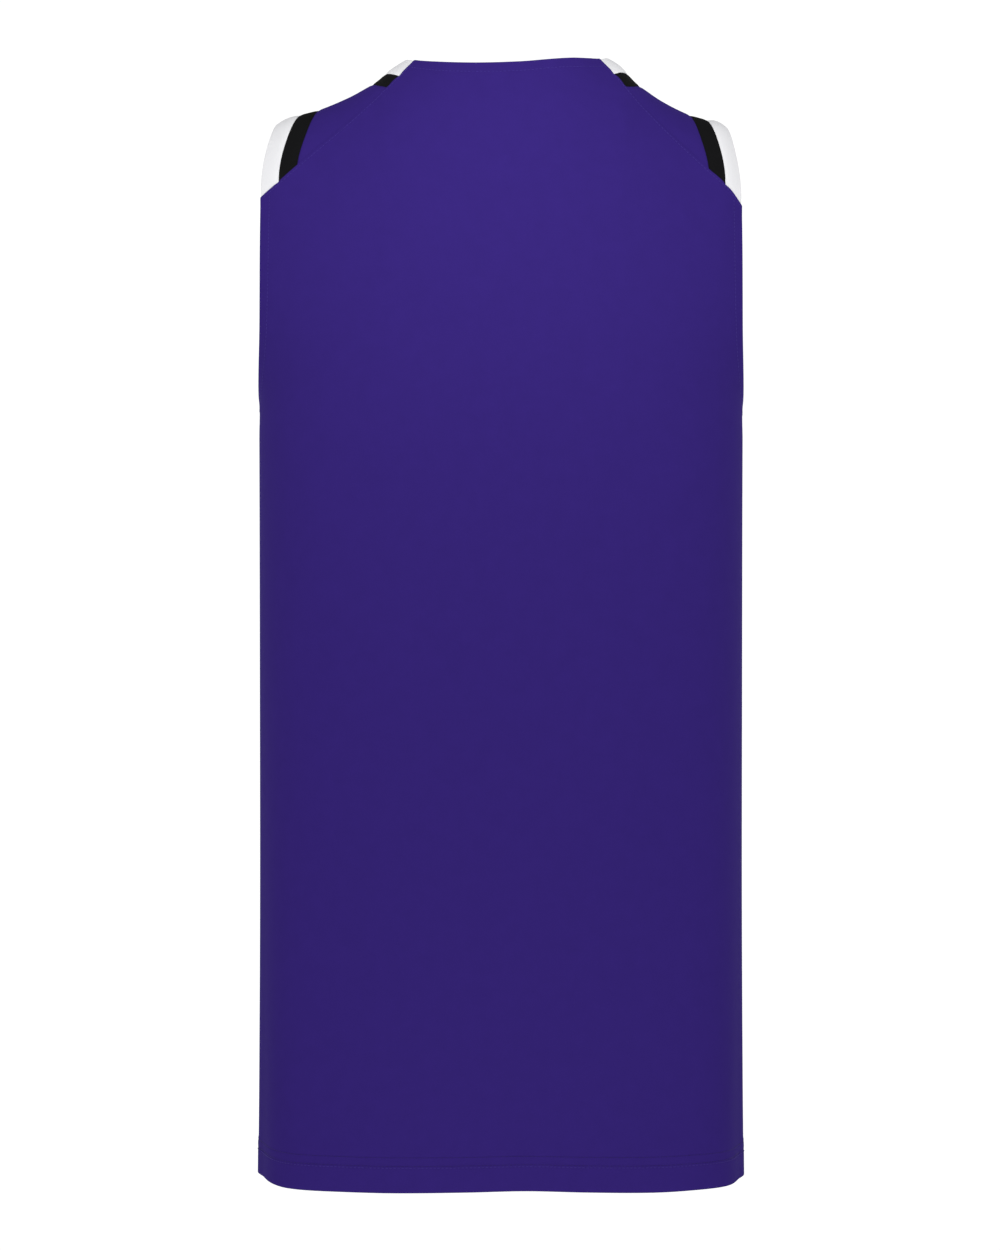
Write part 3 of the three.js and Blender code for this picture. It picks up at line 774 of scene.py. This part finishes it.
def back_rows():
    """The back panel's neck, slanting seam and arm edge, from the middle of the neck to the underarm."""

    def neck_place(t):
        return spot(neck_corner * t, back_neck_height(neck_corner * t), BACK)

    def arm_place(t):
        height = float(seam_height(arm_corner)) * (1 - t) - UNDERARM * t
        return spot(back_arm_across(height), height, BACK)

    neck = share_out(trace(neck_place), even_shares(BACK_NECK_COLUMNS))
    lap = seam_run(neck_corner, arm_corner, even_shares(LAP_COLUMNS))
    arm = share_out(trace(arm_place), shares(*BACK_ARM_COLUMNS, high=EDGE_ROWS))
    return neck, lap, arm


def back_sheet():
    sheet = Sheet(lies_over=True)
    neck, lap, arm = back_rows()
    top = np.vstack([neck, lap[1:], arm[1:]])
    top[-1] = side_top * BEHIND
    body = body_under(top, BACK, BACK_ROWS)
    for mirror in (LEFT, RIGHT):
        add_body(sheet, body, mirror)
        for row, distances in ((neck, TURNED_ROWS), (lap, LAP_ROWS), (arm, TURNED_ROWS)):
            sheet.turned(row * mirror, [beside(row, -distance) * mirror for distance in distances])
    return sheet


def front_sheet():
    sheet = Sheet()
    neck, arm = neck_lines[-1], arm_lines[-1]
    neck_foot = share_out(neck.front, NECK_FOOT_SHARE * even_shares(FRONT_NECK_COLUMNS))
    arm_foot = share_out(arm.front, ARM_FOOT_SHARE * shares(*FRONT_ARM_COLUMNS, low=EDGE_ROWS))
    across = shares(*CHEST_COLUMNS, low=EDGE_ROWS, high=EDGE_ROWS)
    chest = share_out(straight(neck_foot[-1], arm_foot[-1], FINE_SHARES), across)
    body = body_under(np.vstack([neck_foot[:-1], chest, arm_foot[-2::-1]]), FRONT, FRONT_ROWS)

    upwards = shares(*STRAP_ROWS, high=EDGE_ROWS)
    neck_side = strap_side(neck, NECK_FOOT_SHARE, upwards)
    arm_side = strap_side(arm, ARM_FOOT_SHARE, upwards)
    seam = seam_run(across_at(neck.back[-1]), across_at(arm.back[-1]), across)
    strap = fill(chest, seam, neck_side, arm_side, across, upwards)
    turned_in = (
        (body.rows[-1], body.rows[-2]),
        (neck_side, strap[:, 1]),
        (arm_side, strap[:, -2]),
        (seam, strap[-2]),
    )
    for mirror in (LEFT, RIGHT):
        add_body(sheet, body, mirror)
        sheet.patch(strap * mirror)
        for edge, inner in turned_in:
            sheet.allowance(edge * mirror, inner * mirror)
    return sheet


def strap_side(line, share, fractions):
    """A line's part that runs along the strap: over the shoulder from the chest line to the seam."""
    front = share_out(line.front, share + (1 - share) * FINE_SHARES)
    return share_out(np.vstack([front, line.back[1:]]), fractions)


def band_places(lines, widths, first, run):
    """A band between two of its lines, as rows along it."""
    rows = shares(*run, low=EDGE_ROWS, high=EDGE_ROWS)
    columns = shares(BAND_COLUMNS[first], widths[first], low=EDGE_ROWS[:1], high=EDGE_ROWS[:1])
    edge, following = (share_out(in_one(line), rows) for line in lines[first:first + 2])
    foot = straight(edge[0], following[0], columns)
    end = seam_run(across_at(edge[-1]), across_at(following[-1]), columns)
    return fill(foot, end, edge, following, columns, rows)


def band_sheet(patches, has_edge, ends_at_side):
    """A band from one or two patches of places, with the garment's edge folded to the inside."""
    sheet = Sheet()
    for placed in patches:
        sheet.patch(placed)
        if has_edge:
            sheet.turned(placed[:, 0], [placed[:, i] for i in range(1, placed.shape[1] - 1)])
        else:
            sheet.allowance(placed[:, 0], placed[:, 1])
        sheet.allowance(placed[:, -1], placed[:, -2])
        sheet.allowance(placed[-1], placed[-2])
        if ends_at_side:
            sheet.allowance(placed[0], placed[1])
    return sheet


class Socket:
    """A node's output, on which Python's operators add Math nodes."""

    def __init__(self, shader, socket):
        self.shader = shader
        self.socket = socket

    def math(self, operation, *values):
        return self.shader.node("ShaderNodeMath", {"operation": operation}, dict(enumerate(values)))

    def other(self, output):
        """Another output of the same node."""
        return Socket(self.shader, self.socket.node.outputs[output])

    def __add__(self, other):
        return self.math("ADD", self, other)

    __radd__ = __add__

    def __sub__(self, other):
        return self.math("SUBTRACT", self, other)

    def __rsub__(self, other):
        return self.math("SUBTRACT", other, self)

    def __mul__(self, other):
        return self.math("MULTIPLY", self, other)

    __rmul__ = __mul__

    def __truediv__(self, other):
        return self.math("DIVIDE", self, other)

    def __mod__(self, other):
        return self.math("FLOORED_MODULO", self, other)

    def __abs__(self):
        return self.math("ABSOLUTE", self)


class Shader:
    """The nodes of a material or of the world."""

    def __init__(self, owner):
        owner.use_nodes = True
        self.owner = owner
        self.nodes = owner.node_tree.nodes
        self.links = owner.node_tree.links

    def put(self, node, inputs):
        """Set a node's inputs, each to a value or to another node's output."""
        for key, value in inputs.items():
            if isinstance(value, Socket):
                self.links.new(value.socket, node.inputs[key])
            else:
                node.inputs[key].default_value = value

    def node(self, kind, settings, inputs, output=0):
        made = self.nodes.new(kind)
        for key, value in settings.items():
            setattr(made, key, value)
        self.put(made, inputs)
        return Socket(self, made.outputs[output])

    def spread(self, colour, share, factor):
        """A colour that varies around its middle by a share of itself."""
        low, high = ((*(channel * level for channel in colour), 1) for level in (1 - share, 1 + share))
        inputs = {0: factor, MIX_A: low, MIX_B: high}
        return self.node("ShaderNodeMix", {"data_type": "RGBA"}, inputs, MIX_RESULT)

    def noise(self, scale, detail=2.0, roughness=0.5):
        place = self.node("ShaderNodeTexCoord", {}, {}, "Object")
        inputs = {"Vector": place, "Scale": scale, "Detail": detail, "Roughness": roughness}
        return self.node("ShaderNodeTexNoise", {}, inputs)


def zigzag(value):
    """Down and up again between 1 and 0 with each whole step of a value."""
    return abs(value % 1 - 0.5) * 2


def knit(name, colour, spread, sheen):
    """Smooth interlock knit: fine upright wales of slanting loops, with a slight speckle."""
    shader = Shader(bpy.data.materials.new(name))
    uv = shader.node("ShaderNodeUVMap", {"uv_map": "grain"}, {})
    around = shader.node("ShaderNodeSeparateXYZ", {}, {0: uv})
    up = around.other(1)
    wobble = shader.noise(WOBBLE_SCALE) * WOBBLE
    wale = zigzag(around / WALE + wobble)
    course = zigzag(up / COURSE + wale * COURSE_SLANT + wobble)
    loops = wale * WALE_SHARE + course * (1 - WALE_SHARE)
    speckle = shader.noise(*SPECKLE_NOISE)
    shade = loops * LOOP_SHADE + speckle * SPECKLE_SHADE + shader.noise(MOTTLE_SCALE) * MOTTLE_SHADE
    bump = shader.node("ShaderNodeBump", {}, {
        "Strength": KNIT_BUMP, "Distance": KNIT_DEPTH, "Height": loops + speckle * SPECKLE_BUMP}, "Normal")
    shader.put(shader.nodes["Principled BSDF"], {
        "Base Color": shader.spread(colour, spread, shade),
        "Normal": bump,
        "Roughness": speckle * SPECKLE_ROUGHNESS + KNIT_ROUGHNESS,
        "Specular IOR Level": KNIT_SPECULAR,
        "Sheen Weight": sheen,
        "Sheen Roughness": SHEEN_ROUGHNESS,
        "Sheen Tint": (*(channel * SHEEN_LIFT for channel in colour), 1),
    })
    return shader.owner


def thread(name, colour):
    """Polyester thread: plies that wind round each stitch."""
    shader = Shader(bpy.data.materials.new(name))
    shader.put(shader.nodes["Principled BSDF"], {
        "Base Color": shader.spread(colour, THREAD_SPREAD, shader.noise(PLY_SCALE)),
        "Roughness": THREAD_ROUGHNESS,
        "Specular IOR Level": THREAD_SPECULAR,
    })
    return shader.owner


def stitch_row(points, normals):
    """A row of stitches along a run of points: short threads that dive in at both ends."""
    mesh = bmesh.new()
    run = run_along(points)
    sizes = bpy.context.scene.jersey_sizes
    pitch = sizes.stitch_pitch / MM
    long, thick = pitch * STITCH_SHARE / 2, sizes.thread_thickness / MM / 2
    for k in range(int(run[-1] / pitch)):
        at = (k + 0.5) * pitch
        middle, normal, ahead = (
            Vector([np.interp(at + shift, run, rows[:, axis]) for axis in range(3)])
            for shift, rows in ((0, points), (0, normals), (long, points)))
        along = (ahead - middle).normalized()
        out = (normal - along * normal.dot(along)).normalized()
        turn = Matrix((along, out.cross(along), out)).transposed().to_4x4()
        size = Matrix.Diagonal((long * MM, thick * MM, thick * MM, 1))
        matrix = Matrix.Translation((middle + out * thick * STITCH_RISE) * MM) @ turn @ size
        bmesh.ops.create_uvsphere(
            mesh, u_segments=STITCH_SEGMENTS, v_segments=STITCH_RINGS, radius=1, matrix=matrix)
    row = bpy.data.meshes.new("stitch_row")
    mesh.to_mesh(row)
    mesh.free()
    return row


def stitching(name, runs, sheet, material):
    """Stitch rows on both halves of a sheet, along runs of places."""
    mesh = bmesh.new()
    for run in runs:
        for side in both_sides(run):
            row = stitch_row(sheet.surface(side), outward(side))
            mesh.from_mesh(row)
            bpy.data.meshes.remove(row)
    for face in mesh.faces:
        face.smooth = True
    piece = new_object(name, mesh, material)
    ride(piece)
    return piece


def finish_panel(name, side, sheet, cut, stitches=()):
    """The finished front or back panel, with the stitches of its hem."""
    colours = bpy.context.scene.jersey_colours
    # The hem's stitch rows carry painted shade: their thread is darker than the cloth so that the rows paint
    # the shade of the grooves they sit in.
    hem_thread_painted_shade = thread(f"{name}_hem_thread_painted_shade", colours.hem_thread_painted_shade)
    hem = stitching(f"{name}_panel_hem_stitches", hem_runs(side, HEM_STITCHES), sheet, hem_thread_painted_shade)
    material = knit(f"purple_knit_{name}", colours.purple, PURPLE_SPREAD, PURPLE_SHEEN)
    sheet.finish(f"{name}_panel", PANEL_SLOT, material, cut, [*stitches, hem])


class JerseySizes(bpy.types.PropertyGroup):
    cloth_thickness: bpy.props.FloatProperty(
        name="Cloth thickness", description="Thickness of one layer of the knit",
        default=0.0006, min=0.0003, max=0.002, unit="LENGTH")
    stitch_pitch: bpy.props.FloatProperty(
        name="Stitch length", description="From one needle hole to the next",
        default=0.0028, min=0.0015, max=0.006, unit="LENGTH")
    thread_thickness: bpy.props.FloatProperty(
        name="Thread thickness", description="Diameter of the sewing thread",
        default=0.00038, min=0.0002, max=0.001, unit="LENGTH")


class JerseyColours(bpy.types.PropertyGroup):
    purple: bpy.props.FloatVectorProperty(
        name="Purple", description="Colour of the front and back panels",
        default=(0.0328, 0.016, 0.165), min=0, max=1, subtype="COLOR")
    white: bpy.props.FloatVectorProperty(
        name="White", description="Colour of the outer bands",
        default=(0.8, 0.8, 0.82), min=0, max=1, subtype="COLOR")
    black: bpy.props.FloatVectorProperty(
        name="Black", description="Colour of the inner bands",
        default=(0.0075, 0.0075, 0.008), min=0, max=1, subtype="COLOR")
    edge_thread: bpy.props.FloatVectorProperty(
        name="Edge thread", description="Colour of the thread along the neck, arm edges and slanting seams",
        default=(0.052, 0.03, 0.24), min=0, max=1, subtype="COLOR")
    # A real thread whose dark colour is painted shade, standing in for the shade in the hem's stitch grooves.
    hem_thread_painted_shade: bpy.props.FloatVectorProperty(
        name="Hem thread", description="Colour of the darker thread along the hem",
        default=(0.02, 0.01, 0.1), min=0, max=1, subtype="COLOR")


class StageSettings(bpy.types.PropertyGroup):
    room: bpy.props.FloatProperty(
        name="Room light", description="Strength of the even light all around", default=1.06, min=0)
    ceiling: bpy.props.FloatProperty(
        name="Ceiling light", description="Strength of the even light from above", default=0.38, min=0)
    yoke_light: bpy.props.FloatProperty(
        name="Yoke light", description="Power of the soft lamp on the yoke", default=1.8, min=0, unit="POWER")
    hem_light: bpy.props.FloatProperty(
        name="Hem light", description="Power of the narrow lamp on the hem", default=0.5, min=0, unit="POWER")
    camera_distance: bpy.props.FloatProperty(
        name="Camera distance", description="From the jersey's middle plane", default=3.1, unit="LENGTH")
    camera_height: bpy.props.FloatProperty(
        name="Camera height", description="Of the level camera", default=-0.405, unit="LENGTH")
    lens: bpy.props.FloatProperty(
        name="Lens", description="Focal length in millimetres", default=124, unit="CAMERA")
    floor_height: bpy.props.FloatProperty(
        name="Floor height", description="Of the pale floor under the jersey", default=-1.2, unit="LENGTH")


class JERSEY_OT_back_panel(bpy.types.Operator):
    """Make the back panel, with its turned edges and its stitching"""

    bl_idname = "jersey.back_panel"
    bl_label = "Back Panel"

    def execute(self, context):
        neck, lap, arm = back_rows()
        edges = [beside(neck, -TURNED_STITCH), beside(lap, -LAP_STITCH), beside(arm, -TURNED_STITCH)]
        edges.extend(hem_runs(BACK, [HEM_LOOPS]))
        edge_thread = thread("edge_thread", context.scene.jersey_colours.edge_thread)
        sheet = back_sheet()
        stitches = stitching("back_panel_edge_stitches", edges, sheet, edge_thread)
        finish_panel("back", BACK, sheet, BACK_CUT, [stitches])
        return {"FINISHED"}


class JERSEY_OT_front_panel(bpy.types.Operator):
    """Make the front panel, which runs over both shoulders, with its stitching"""

    bl_idname = "jersey.front_panel"
    bl_label = "Front Panel"

    def execute(self, context):
        finish_panel("front", FRONT, front_sheet(), FRONT_CUT)
        return {"FINISHED"}


class JERSEY_OT_bands(bpy.types.Operator):
    """Make the white and black bands of the neck and both armholes"""

    bl_idname = "jersey.bands"
    bl_label = "Bands"

    def execute(self, context):
        colours = context.scene.jersey_colours
        knits = (("white", colours.white, WHITE_SPREAD), ("black", colours.black, BLACK_SPREAD))
        for first, (colour, shade, spread) in enumerate(knits):
            material = knit(f"{colour}_knit", shade, spread, BAND_SHEEN)
            neck = band_places(neck_lines, NECK_BANDS, first, NECK_BAND_ROWS)
            arm = band_places(arm_lines, ARM_BANDS, first, ARM_BAND_ROWS)
            pieces = (
                (f"neck_band_{colour}", both_sides(neck), NECK_CUTS),
                (f"arm_band_{colour}_left", [arm], ARM_CUTS),
                (f"arm_band_{colour}_right", [arm * RIGHT], ARM_CUTS),
            )
            for node, patches, cuts in pieces:
                sheet = band_sheet(patches, first == 0, cuts is ARM_CUTS)
                sheet.finish(node, f"{colour}_knit", material, cuts[first])
        return {"FINISHED"}


class JERSEY_OT_stage(bpy.types.Operator):
    """Set the pale floor, the soft light and the camera"""

    bl_idname = "jersey.stage"
    bl_label = "Stage"

    def execute(self, context):
        settings = context.scene.jersey_stage
        set_world(settings.room, settings.ceiling)
        add_floor(settings.floor_height)
        add_lamp(YOKE_LAMP, settings.yoke_light)
        add_lamp(HEM_LAMP, settings.hem_light)
        add_camera(settings)
        context.scene.view_settings.view_transform = "Standard"
        return {"FINISHED"}


def set_world(strength, ceiling):
    """A white room with a darker ceiling, brighter at its sides than behind the camera."""
    shader = Shader(bpy.data.worlds.new("studio"))
    view = shader.node("ShaderNodeTexCoord", {}, {}, "Generated")
    aside = shader.node("ShaderNodeSeparateXYZ", {}, {0: view})
    behind = aside.math("MAXIMUM", aside.other("Y"), 0)
    walls = 1 + aside * aside * SIDE_GAIN - behind * BEHIND_LOSS
    level = shader.node("ShaderNodeMapRange", {"interpolation_type": "SMOOTHSTEP"}, {
        "Value": aside.other("Z"), "From Min": CEILING_FROM, "From Max": CEILING_FULL,
        "To Min": strength, "To Max": ceiling})
    shader.put(shader.nodes["Background"], {"Color": (1, 1, 1, 1), "Strength": level * walls})
    bpy.context.scene.world = shader.owner


def add_floor(height):
    mesh = bmesh.new()
    place = Matrix.Translation((0, 0, height))
    bmesh.ops.create_circle(mesh, cap_ends=True, segments=FLOOR_SEGMENTS, radius=FLOOR_RADIUS, matrix=place)
    shader = Shader(bpy.data.materials.new("pale_floor"))
    shader.put(shader.nodes["Principled BSDF"], {
        "Base Color": shader.spread(FLOOR_COLOUR, FLOOR_SPREAD, shader.noise(FLOOR_SCALE)),
        "Roughness": FLOOR_ROUGHNESS,
    })
    new_object("floor", mesh, shader.owner)


def aimed(data, place, target):
    """A lamp or camera that stands at a place and looks at a target."""
    thing = bpy.data.objects.new(data.name, data)
    thing.location = place
    direction = Vector(target) - thing.location
    thing.rotation_euler = direction.to_track_quat("-Z", "Y").to_euler()
    bpy.context.scene.collection.objects.link(thing)
    return thing


def add_lamp(lamp, power):
    data = bpy.data.lights.new(lamp.name, "AREA")
    data.energy = power
    data.size = lamp.size
    data.spread = lamp.spread
    aimed(data, lamp.place, lamp.target)


def add_camera(settings):
    data = bpy.data.cameras.new("camera")
    data.lens = settings.lens
    place = (CAMERA_ASIDE, settings.camera_distance, settings.camera_height)
    target = (CAMERA_ASIDE, 0, settings.camera_height)
    bpy.context.scene.camera = aimed(data, place, target)


class JERSEY_PT_panel(bpy.types.Panel):
    """The jersey's pieces, sizes and colours"""

    bl_label = "Jersey"
    bl_space_type = "VIEW_3D"
    bl_region_type = "UI"
    bl_category = "Jersey"

    def draw(self, context):
        layout_box = self.layout
        for operator in OPERATORS:
            layout_box.operator(operator.bl_idname)
        for group in (context.scene.jersey_sizes, context.scene.jersey_colours, context.scene.jersey_stage):
            for name in group.bl_rna.properties.keys():
                if name not in ("rna_type", "name"):
                    layout_box.prop(group, name)


OPERATORS = (JERSEY_OT_back_panel, JERSEY_OT_front_panel, JERSEY_OT_bands, JERSEY_OT_stage)
GROUPS = {"jersey_sizes": JerseySizes, "jersey_colours": JerseyColours, "jersey_stage": StageSettings}


def register():
    for kind in (*GROUPS.values(), *OPERATORS, JERSEY_PT_panel):
        bpy.utils.register_class(kind)
    for name, group in GROUPS.items():
        setattr(bpy.types.Scene, name, bpy.props.PointerProperty(type=group))


def unregister():
    for name in GROUPS:
        delattr(bpy.types.Scene, name)
    for kind in (JERSEY_PT_panel, *reversed(OPERATORS), *GROUPS.values()):
        bpy.utils.unregister_class(kind)


def main():
    register()
    bpy.ops.jersey.stage()
    bpy.ops.jersey.back_panel()
    bpy.ops.jersey.front_panel()
    bpy.ops.jersey.bands()


if __name__ == "__main__":
    main()
